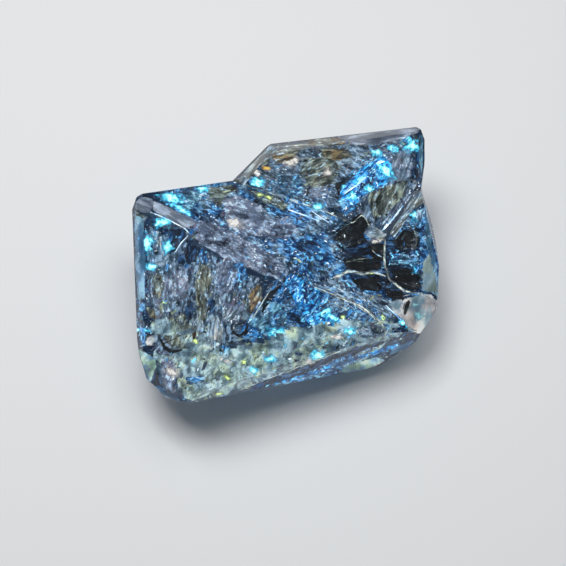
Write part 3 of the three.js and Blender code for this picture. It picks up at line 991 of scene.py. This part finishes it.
def add_sheet(size, cell, lay, angle, salt):
    """Adds a grid with a thin body; lay(x, y) gives each point its place and its fade, or refuses it."""
    wide, high = size
    deselect()
    bpy.ops.mesh.primitive_grid_add(
        x_subdivisions=max(2, round(wide / cell)), y_subdivisions=max(2, round(high / cell)), size=1)
    sheet = bpy.context.object
    mesh = sheet.data
    flat = [(v.co.x * wide, v.co.y * high) for v in mesh.vertices]
    laid = [lay(x, y) or (None, 0) for x, y in flat]
    for layer in list(mesh.uv_layers):
        mesh.uv_layers.remove(layer)
    grain = mesh.uv_layers.new(name=GRAIN)
    fade = mesh.uv_layers.new(name=FADE)
    cosine, sine = math.cos(math.radians(angle)), math.sin(math.radians(angle))
    for loop in mesh.loops:
        x, y = (value * POINT_MM for value in flat[loop.vertex_index])
        along = x * cosine + y * sine + salt * GRAIN_STEP[0]
        grain.uv[loop.index].vector = (along, y * cosine - x * sine + salt * GRAIN_STEP[1])
        fade.uv[loop.index].vector = (laid[loop.vertex_index][1], 0)
    bpy.ops.object.mode_set(mode="EDIT")
    bpy.ops.mesh.select_mode(type="VERT")
    shell = bmesh.from_edit_mesh(mesh)
    for vertex, (place, _) in zip(shell.verts, laid):
        vertex.select_set(place is None)
        if place is not None:
            vertex.co = place
    bmesh.update_edit_mesh(mesh)
    bpy.ops.mesh.delete(type="VERT")
    bpy.ops.mesh.select_all(action="SELECT")
    bpy.ops.mesh.delete_loose()
    bpy.ops.object.mode_set(mode="OBJECT")
    if not mesh.polygons:
        bpy.data.objects.remove(sheet)
        return None
    body = sheet.modifiers.new("thin_body", "SOLIDIFY")
    body.thickness = FILM_BODY
    bpy.ops.object.modifier_apply(modifier=body.name)
    return sheet


def add_film(outline, depth, angle, salt, fray, soft, cell=None, crumple=0.04, firm=0.0):
    """A film seen inside this outline of image points, this many mm under the face over its middle.

    fray is how ragged its edge is, soft how wide the edge fades, crumple how deep it folds in mm, and firm
    how much of it shows at the edge itself.
    """
    xs, ys = [x for x, _ in outline], [y for _, y in outline]
    wide, high = max(xs) - min(xs), max(ys) - min(ys)
    middle = ((min(xs) + max(xs)) / 2, (min(ys) + max(ys)) / 2)
    cell = cell or min(CELL_MOST, max(CELL_LEAST, (wide + high) / CELLS_ACROSS))
    face = INSIDE.face_at(*middle) or INSIDE.face_at(sum(xs) / len(xs), sum(ys) / len(ys))
    if face is None:
        return None

    def lay(x, y):
        x, y = middle[0] + x, middle[1] - y
        ragged = fray * waves(x, y, FRAY_WAVES, salt)
        inside, nearest = within(outline, x, y)
        if inside + ragged < -OUTER_CELLS * cell:
            return None
        if inside < 0 and ragged < STAY_OUT * fray:
            x, y = nearest
        fade = min(1, max(0, (inside + 0.5 * ragged) / soft + firm))
        folded = depth + crumple * waves(x, y, FOLD_WAVES, salt + FOLD_SALT)
        return INSIDE.held(INSIDE.under(face, x, y, max(folded, LEAST_DEPTH_MM) * MM)), fade

    return add_sheet((wide + GRID_MARGIN, high + GRID_MARGIN), cell, lay, angle, salt)


def add_line(path, width, salt):
    """A thin tapered film along a path of image points."""
    left, right = [], []
    ends = (0, len(path) - 1)
    for index, (x, y) in enumerate(path):
        ax, ay = path[max(index - 1, 0)]
        bx, by = path[min(index + 1, ends[1])]
        length = math.hypot(bx - ax, by - ay)
        half = width / 2 * (LINE_TAPER if index in ends else 1)
        across, down = (by - ay) / length * half, (bx - ax) / length * half
        left.append((x - across, y + down))
        right.append((x + across, y - down))
    (ax, ay), (bx, by) = path[0], path[-1]
    angle = math.degrees(math.atan2(ay - by, bx - ax))
    outline = tuple(left + right[::-1])
    return add_film(outline, LINE_DEPTH_MM, angle, salt, soft=0.5 * width, **LINE_EDGE)


def add_glow(x, y, wide, high, angle, salt):
    """A small lens of oil seen at (x, y)."""
    face = INSIDE.face_at(x, y)
    if face is None:
        return None
    cosine, sine = math.cos(math.radians(angle)), math.sin(math.radians(angle))

    def lay(across, up):
        reach = math.hypot(2 * across / wide, 2 * up / high) - 0.5 * waves(across, up, GLOW_WAVES, salt)
        if reach > GLOW_END:
            return None
        seen = (x + across * cosine - up * sine, y - across * sine - up * cosine)
        point = INSIDE.under(face, *seen, GLOW_DEPTH + GLOW_BOW * reach)
        return (point, max(0, 1 - reach)) if INSIDE.clearance(point) > GLOW_MARGIN else None

    return add_sheet((wide * GLOW_GRID, high * GLOW_GRID), CELL_LEAST, lay, 0, salt)


def add_deep_film(place, normal, size, salt):
    """A healed crack somewhere in the crystal, which no photograph shows from here."""
    across = normal.orthogonal().normalized()
    up = normal.cross(across)

    def lay(x, y):
        reach = math.hypot(x, y) / (size * 0.5) - 0.5 * noise.noise(Vector((x, y, salt)) * DEEP_WAVES)
        if reach > 1:
            return None
        fold = normal * DEEP_FOLD_MM * MM * noise.noise(Vector((x, y, salt)) * DEEP_FOLD_WAVES)
        point = place + (across * x + up * y) * POINT_MM * MM + fold
        return (point, min(1, 2 * (1 - reach))) if INSIDE.clearance(point) > DEEP_MARGIN else None

    return add_sheet((size, size), DEEP_CELL, lay, 0, salt)


def join_sheets(name, sheets, slot, material):
    sheets = [sheet for sheet in sheets if sheet]
    if not sheets:
        return
    deselect()
    for sheet in sheets:
        sheet.select_set(True)
    bpy.context.view_layer.objects.active = sheets[0]
    if len(sheets) > 1:
        bpy.ops.object.join()
    piece = bpy.context.view_layer.objects.active
    piece.name = name
    piece.data.name = name
    finish_piece(piece, slot, material)


# Healed cracks that no photograph shows from here: how many are tried, and how large and high up they may be
DEEP_SEED = 41
DEEP_TRIES = 80
DEEP_KINDS = ("slate_veil", "mauve_veil", "haze_veil", "blue_veil", "grey_veil")
DEEP_SIZE = (18, 60)
DEEP_CLEARANCE = 0.15 * MM
DEEP_TOP = 3.0 * MM


# Kinds of small matter: colour stops, strength of a painted glow, roughness, noise scale, record slot
KINDS = {
    "navy_oil": (
        ((0.35, (0.003, 0.01, 0.035)), (0.5, (0.01, 0.035, 0.12)), (0.65, (0.03, 0.13, 0.36))),
        0.2, 0.3, 2600, "oil_inclusions"),
    "slate_film": (
        ((0.3, (0.02, 0.035, 0.06)), (0.52, (0.1, 0.15, 0.23)), (0.8, (0.3, 0.38, 0.48))),
        0.15, 0.35, 3000, "healed_fractures"),
    "mauve_film": (
        ((0.3, (0.05, 0.05, 0.075)), (0.5, (0.2, 0.19, 0.26)), (0.8, (0.48, 0.46, 0.54))),
        0.18, 0.4, 3000, "healed_fractures"),
    "blue_oil": (
        ((0.35, (0.01, 0.06, 0.22)), (0.5, (0.04, 0.22, 0.52)), (0.65, (0.22, 0.6, 0.9))),
        0.7, 0.2, 2400, "oil_inclusions"),
    "cyan_oil": (
        ((0.3, (0.03, 0.28, 0.75)), (0.5, (0.18, 0.66, 0.92)), (0.72, (0.7, 0.95, 1.0))),
        1.0, 0.2, 2400, "oil_inclusions"),
    # Painted glints: white flecks with a strong painted glow
    "white_glint": (
        ((0.35, (0.35, 0.5, 0.66)), (0.5, (0.75, 0.88, 0.95)), (0.65, (1, 1, 1))),
        1.2, 0.15, 2000, "healed_fractures"),
    "yellow_oil": (
        ((0.35, (0.14, 0.19, 0.13)), (0.5, (0.34, 0.42, 0.28)), (0.65, (0.8, 0.85, 0.55))),
        0.35, 0.35, 2200, "oil_inclusions"),
    "brown_bitumen": (
        ((0.3, (0.012, 0.006, 0.003)), (0.55, (0.07, 0.035, 0.014)), (0.8, (0.3, 0.15, 0.05))),
        0.1, 0.35, 1800, "bitumen"),
    "black_bitumen": (
        ((0.3, (0.001, 0.001, 0.0015)), (0.6, (0.004, 0.004, 0.006)), (0.85, (0.015, 0.014, 0.018))),
        0.0, 0.25, 1500, "bitumen"),
}

# Over each kind of film: share of the places that hold a fleck, and the parts of each kind of fleck there
FLECKS_OVER = {
    "slate_veil": (0.42, dict(
        slate_film=34, navy_oil=12, blue_oil=10, mauve_film=20, white_glint=10, yellow_oil=5)),
    "blue_veil": (0.42, dict(navy_oil=24, blue_oil=22, slate_film=18, cyan_oil=10, white_glint=20)),
    "grey_veil": (0.42, dict(mauve_film=34, slate_film=30, white_glint=16, blue_oil=10, yellow_oil=4)),
    "mauve_veil": (0.34, dict(mauve_film=40, slate_film=20, white_glint=14, blue_oil=10, navy_oil=6)),
    "olive_veil": (0.3, dict(
        slate_film=30, yellow_oil=16, brown_bitumen=16, mauve_film=16, black_bitumen=12, white_glint=6)),
    "haze_veil": (0.22, dict(
        yellow_oil=22, slate_film=26, mauve_film=18, white_glint=8, black_bitumen=8, cyan_oil=10)),
    "night_film": (0.15, dict(navy_oil=50, slate_film=20, blue_oil=16, black_bitumen=20, white_glint=6)),
    "window_film": (0.1, dict(slate_film=40, black_bitumen=40, brown_bitumen=20, white_glint=8)),
    "teal_film": (0.3, dict(blue_oil=30, slate_film=25, cyan_oil=15, mauve_film=10, navy_oil=20)),
    "azure_film": (0.6, dict(blue_oil=36, cyan_oil=26, navy_oil=22, white_glint=14)),
    "tan_film": (0.18, dict(mauve_film=30, yellow_oil=30, white_glint=20, black_bitumen=10)),
    "bitumen_film": (0.2, dict(brown_bitumen=60, black_bitumen=20, yellow_oil=20)),
    "rim_film": (0.12, dict(slate_film=40, mauve_film=20, cyan_oil=20, white_glint=10)),
    "lath_film": (0.05, dict(mauve_film=60, white_glint=20)),
    "cream_film": (0.04, dict(mauve_film=60, slate_film=20)),
    "lime_film": (0.08, dict(yellow_oil=60, mauve_film=20)),
    "pale_film": (0.06, dict(mauve_film=30, yellow_oil=30, cyan_oil=20)),
}

# Where small flecks are tried: image points over the crystal, and places in its lower part
FIELD_X = (130, 444)
FIELD_Y = (124, 406)
FIELD_TRIES = 40000
FIELD_EDGE = 1.5
DEEP_FLECK_TRIES = 5000
DEEP_FLECK_TOP = 0.6
DEEP_FLECKS = dict(
    slate_film=0.3, mauve_film=0.2, navy_oil=0.2, yellow_oil=0.1, blue_oil=0.12, white_glint=0.08)
DEEP_FLECK_ANGLE = 180

# Flecks come in clumps: waves per image point of the large and the small clumps, and how dense they are
CLUMP_WAVES = (0.07, 0.2)
CLUMP_SALTS = (3, 9)
CLUMP_LEAST = 0.15
CLUMP_MEAN = 0.8
CLUMP_SWING = 1.6

# Depth of the flecks under a face in mm, as the least and as shape and scale of a gamma draw beyond it
FLECK_DEPTH = 0.05
FLECK_DEPTH_SPREAD = (1.5, 0.16)

# Length of the flecks in mm, as the least and a tail beyond it, and by kind where the tail ends and a scale
FLECK_LENGTH = 0.05
FLECK_LENGTH_TAIL = 0.06
FLECK_TAIL_POWER = 2.2
LONGEST = dict(white_glint=(2.2, 0.9))
USUAL_LONGEST = (5, 1.5)

# Width of the flecks as a share of their length, their turn in degrees, and how far they keep from the faces
FLECK_WIDTH = (0.12, 0.42)
FLECK_TURN = 24
FLECK_LOOSE = 0.4
FLECK_CLEAR = 0.3


class QUARTZ_OT_crystal(bpy.types.Operator):
    """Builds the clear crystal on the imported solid, with slightly worn edges"""
    bl_idname = "mesh.quartz_crystal"
    bl_label = "Clear crystal"

    def execute(self, context):
        quartz, _, _ = settings()
        deselect()
        piece = bpy.data.objects.new("clear_crystal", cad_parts[CRYSTAL_NODE].data.copy())
        context.scene.collection.objects.link(piece)
        context.view_layer.objects.active = piece
        piece.select_set(True)
        bpy.ops.object.mode_set(mode="EDIT")
        bpy.ops.mesh.select_all(action="SELECT")
        bpy.ops.mesh.remove_doubles(threshold=WELD)
        bpy.ops.mesh.dissolve_limited(angle_limit=FLAT_ANGLE)
        bpy.ops.object.mode_set(mode="OBJECT")
        wear = piece.modifiers.new("edge_wear", "BEVEL")
        wear.width = quartz.edge_wear
        wear.segments = EDGE_SEGMENTS
        wear.limit_method = "ANGLE"
        wear.angle_limit = EDGE_ANGLE
        wear.use_clamp_overlap = True
        bpy.ops.object.modifier_apply(modifier=wear.name)
        bpy.ops.object.shade_flat()
        finish_piece(piece, "quartz", quartz_material())
        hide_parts(CRYSTAL_NODE)
        return {"FINISHED"}


class QUARTZ_OT_films(bpy.types.Operator):
    """Lays the films, cracks and growth lines that the photograph shows, each a thin sheet under its face"""
    bl_idname = "mesh.quartz_films"
    bl_label = "Films and cracks"

    def execute(self, context):
        # Among these are painted rim reflections, painted shade in the dark windows and painted glint lines
        sheets = {kind: [] for kind in FINISHES}
        for salt, (kind, depth, angle, outline) in enumerate(VEILS.values(), VEIL_SALT):
            sheets[kind].append(add_film(outline, depth, angle, salt, **VEIL_EDGE))
        for salt, (kind, depth, angle, outline) in enumerate(FILMS.values(), FILM_SALT):
            edge = CRISP_EDGE if kind in CRISP_KINDS else SOFT_EDGE
            sheets[kind].append(add_film(outline, depth, angle, salt, **edge))
        for salt, (kind, width, path) in enumerate(LINES.values(), LINE_SALT):
            sheets[kind].append(add_line(path, width, salt))
        self.scatter_deep_films(sheets)
        for kind, made in sheets.items():
            join_sheets(kind, made, FINISHES[kind]["slot"], mottled_material(kind, FINISHES[kind]))
        return {"FINISHED"}

    def scatter_deep_films(self, sheets):
        rng = np.random.default_rng(DEEP_SEED)
        for salt in range(DEEP_SALT, DEEP_SALT + DEEP_TRIES):
            place = Vector(rng.uniform(INSIDE.low, INSIDE.high))
            normal = Vector(rng.normal(size=3)).normalized()
            kind, size = DEEP_KINDS[rng.integers(len(DEEP_KINDS))], rng.uniform(*DEEP_SIZE)
            if INSIDE.clearance(place) > DEEP_CLEARANCE and place.z < DEEP_TOP:
                sheets[kind].append(add_deep_film(place, normal, size, salt))


class QUARTZ_OT_glows(bpy.types.Operator):
    """Sets the small glowing drops of oil where the photograph shows them"""
    bl_idname = "mesh.quartz_glows"
    bl_label = "Glowing drops"

    def execute(self, context):
        salt = GLOW_SALT
        for kind, glows in GLOWS.items():
            sheets = [add_glow(*where, salt + index) for index, where in enumerate(glows.values())]
            salt += len(glows)
            join_sheets(kind, sheets, GLOW_FINISHES[kind]["slot"], glow_material(kind, GLOW_FINISHES[kind]))
        return {"FINISHED"}


class QUARTZ_OT_small_flecks(bpy.types.Operator):
    """Scatters the small films, oil drops and glints under the faces, as the photograph shows them"""
    bl_idname = "mesh.quartz_small_flecks"
    bl_label = "Small flecks"

    def execute(self, context):
        _, inclusions, _ = settings()
        rng = np.random.default_rng(inclusions.seed)
        masters = [model_fleck(index, sides) for index, sides in enumerate(FLECK_SIDES)]
        found = {kind: [] for kind in KINDS}
        self.scatter_under_faces(found, rng, int(FIELD_TRIES * inclusions.amount))
        self.scatter_deep(found, rng, int(DEEP_FLECK_TRIES * inclusions.amount))
        for kind, rows in found.items():
            if rows:
                self.make_piece(kind, np.array(rows), masters, rng, inclusions.glow)
        for master in masters:
            bpy.data.objects.remove(master)
        return {"FINISHED"}

    def scatter_under_faces(self, found, rng, tries):
        """Finds places just under the faces: a row has a place, a normal and the angle of the film there."""
        zones = []
        for kind, _, angle, outline in (*FILMS.values(), *VEILS.values()):
            low, high = np.min(outline, 0) - FIELD_EDGE, np.max(outline, 0) + FIELD_EDGE
            zones.append((kind, angle, outline, *low, *high))
        for x, y in zip(rng.uniform(*FIELD_X, tries), rng.uniform(*FIELD_Y, tries)):
            kind, angle = self.zone_at(zones, x, y)
            share, weights = FLECKS_OVER[kind]
            clump = noise.noise(Vector((x, y, CLUMP_SALTS[0])) * CLUMP_WAVES[0])
            clump += 0.5 * noise.noise(Vector((x, y, CLUMP_SALTS[1])) * CLUMP_WAVES[1])
            if rng.random() > share * max(CLUMP_LEAST, CLUMP_MEAN + CLUMP_SWING * clump):
                continue
            face = INSIDE.face_at(x, y)
            if face is None:
                continue
            names = list(weights)
            odds = np.array(list(weights.values()), float)
            fleck = names[rng.choice(len(names), p=odds / odds.sum())]
            point = INSIDE.under(face, x, y, (FLECK_DEPTH + rng.gamma(*FLECK_DEPTH_SPREAD)) * MM)
            found[fleck].append((*point, *face[1], angle))

    def zone_at(self, zones, x, y):
        """Kind and angle of the first film that lies under an image point."""
        for kind, angle, outline, left, top, right, bottom in zones:
            if left < x < right and top < y < bottom and within(outline, x, y)[0] > -FIELD_EDGE:
                return kind, angle
        return "slate_veil", 0

    def scatter_deep(self, found, rng, tries):
        """Finds places in the lower part of the crystal, for the views from the sides."""
        names, odds = list(DEEP_FLECKS), list(DEEP_FLECKS.values())
        for point in rng.uniform(INSIDE.low, INSIDE.high, (tries, 3)):
            if point[2] < DEEP_FLECK_TOP * INSIDE.high.z and INSIDE.clearance(Vector(point)) > 0:
                fleck = names[rng.choice(len(names), p=odds)]
                found[fleck].append((*point, *rng.normal(size=3), rng.uniform(0, DEEP_FLECK_ANGLE)))

    def make_piece(self, kind, rows, masters, rng, strength):
        """Turns each fleck near its film's angle, sizes it and leaves out those too close to a face."""
        angles = np.radians(rows[:, 6] + rng.normal(0, FLECK_TURN, len(rows)))
        along = np.cos(angles)[:, None] * np.array(CAMERA_RIGHT)
        along = along + np.sin(angles)[:, None] * np.array(CAMERA_UP)
        turns = turn_matrices(rows[:, 3:6], along, rng, FLECK_LOOSE)
        longest, scale = LONGEST.get(kind, USUAL_LONGEST)
        tail = rng.pareto(FLECK_TAIL_POWER, len(rows)).clip(0, longest)
        length = (FLECK_LENGTH + FLECK_LENGTH_TAIL * tail) * MM * scale
        sizes = np.stack([length, length * rng.uniform(*FLECK_WIDTH, len(rows)), length], axis=1)
        clear = np.array([INSIDE.clearance(Vector(place)) for place in rows[:, :3]])
        keep = clear > length * FLECK_CLEAR + FILM_MARGIN
        stops, glow, roughness, grain, slot = KINDS[kind]
        piece = copies(masters, rows[keep, :3], turns[keep], sizes[keep], kind)
        finish_piece(piece, slot, fleck_material(kind, stops, glow * strength, roughness, grain))


# Lamps: name, place and size in mm, share of the key light's power
LAMPS = (
    ("key_light", (-18, 16, 80), (46, 46), 1.0),
    ("fill_light", (30, 20, 90), (50, 50), 0.5),
)
SKY_COLOR = (0.9, 0.95, 1, 1)
FLOOR_SIZE = 2.0
FLOOR_DROP = 0.00001
FLOOR_ROUGHNESS = 0.8
CLIP = (0.001, 10)


class QUARTZ_OT_stage(bpy.types.Operator):
    """Sets up the plain pale floor, the soft studio light and the camera at the photograph's angle"""
    bl_idname = "scene.quartz_stage"
    bl_label = "Stage"

    def execute(self, context):
        _, _, stage = settings()
        self.lay_floor(stage.floor_color)
        self.light_up(context, stage.sky, stage.key_power)
        self.place_camera(context)
        context.scene.view_settings.view_transform = "Standard"
        return {"FINISHED"}

    def lay_floor(self, color):
        deselect()
        bpy.ops.mesh.primitive_plane_add(size=FLOOR_SIZE, location=(0, 0, -FLOOR_DROP))
        floor = bpy.context.object
        floor.name = "floor"
        material, tree, shader = new_material("pale_floor")
        fill(tree, shader, {"Base Color": (*color, 1), "Roughness": FLOOR_ROUGHNESS})
        floor.data.materials.append(material)

    def light_up(self, context, sky, key_power):
        world = bpy.data.worlds.new("soft_surroundings")
        context.scene.world = world
        world.use_nodes = True
        fill(world.node_tree, world.node_tree.nodes["Background"], {"Color": SKY_COLOR, "Strength": sky})
        for name, place, size, share in LAMPS:
            deselect()
            bpy.ops.object.light_add(type="AREA", location=Vector(place) * MM)
            lamp = context.object
            lamp.name = name
            lamp.data.shape = "RECTANGLE"
            lamp.data.size, lamp.data.size_y = size[0] * MM, size[1] * MM
            lamp.data.energy = key_power * share
            lamp.rotation_euler = (AIM - lamp.location).to_track_quat("-Z", "Y").to_euler()

    def place_camera(self, context):
        bpy.ops.object.camera_add(location=CAMERA_PLACE)
        camera = context.object
        camera.name = "photo_camera"
        camera.rotation_euler = Matrix((CAMERA_RIGHT, CAMERA_UP, TOWARDS_CAMERA)).transposed().to_euler()
        camera.data.lens = LENS_MM
        camera.data.sensor_width = SENSOR_MM
        camera.data.clip_start, camera.data.clip_end = CLIP
        context.scene.camera = camera


class QUARTZ_PT_panel(bpy.types.Panel):
    """Lists the steps that build the crystal"""
    bl_label = "Petroleum Quartz"
    bl_idname = "QUARTZ_PT_panel"
    bl_space_type = "VIEW_3D"
    bl_region_type = "UI"
    bl_category = "Petroleum Quartz"

    def draw(self, context):
        for group in settings():
            box = self.layout.box()
            for name in group.__annotations__:
                box.prop(group, name)
        for operator in OPERATORS:
            self.layout.operator(operator.bl_idname)


GROUPS = (QuartzSettings, InclusionSettings, StageSettings)
OPERATORS = (QUARTZ_OT_stage, QUARTZ_OT_crystal, QUARTZ_OT_films, QUARTZ_OT_glows, QUARTZ_OT_small_flecks)


def register():
    for made in (*GROUPS, *OPERATORS, QUARTZ_PT_panel):
        bpy.utils.register_class(made)
    bpy.types.Scene.petroleum_quartz = PointerProperty(type=QuartzSettings)
    bpy.types.Scene.quartz_inclusions = PointerProperty(type=InclusionSettings)
    bpy.types.Scene.quartz_stage = PointerProperty(type=StageSettings)


def unregister():
    del bpy.types.Scene.petroleum_quartz, bpy.types.Scene.quartz_inclusions, bpy.types.Scene.quartz_stage
    for made in (QUARTZ_PT_panel, *reversed(OPERATORS), *reversed(GROUPS)):
        bpy.utils.unregister_class(made)


def main():
    register()
    bpy.ops.scene.quartz_stage()
    bpy.ops.mesh.quartz_crystal()
    bpy.ops.mesh.quartz_films()
    bpy.ops.mesh.quartz_glows()
    bpy.ops.mesh.quartz_small_flecks()


if __name__ == "__main__":
    main()
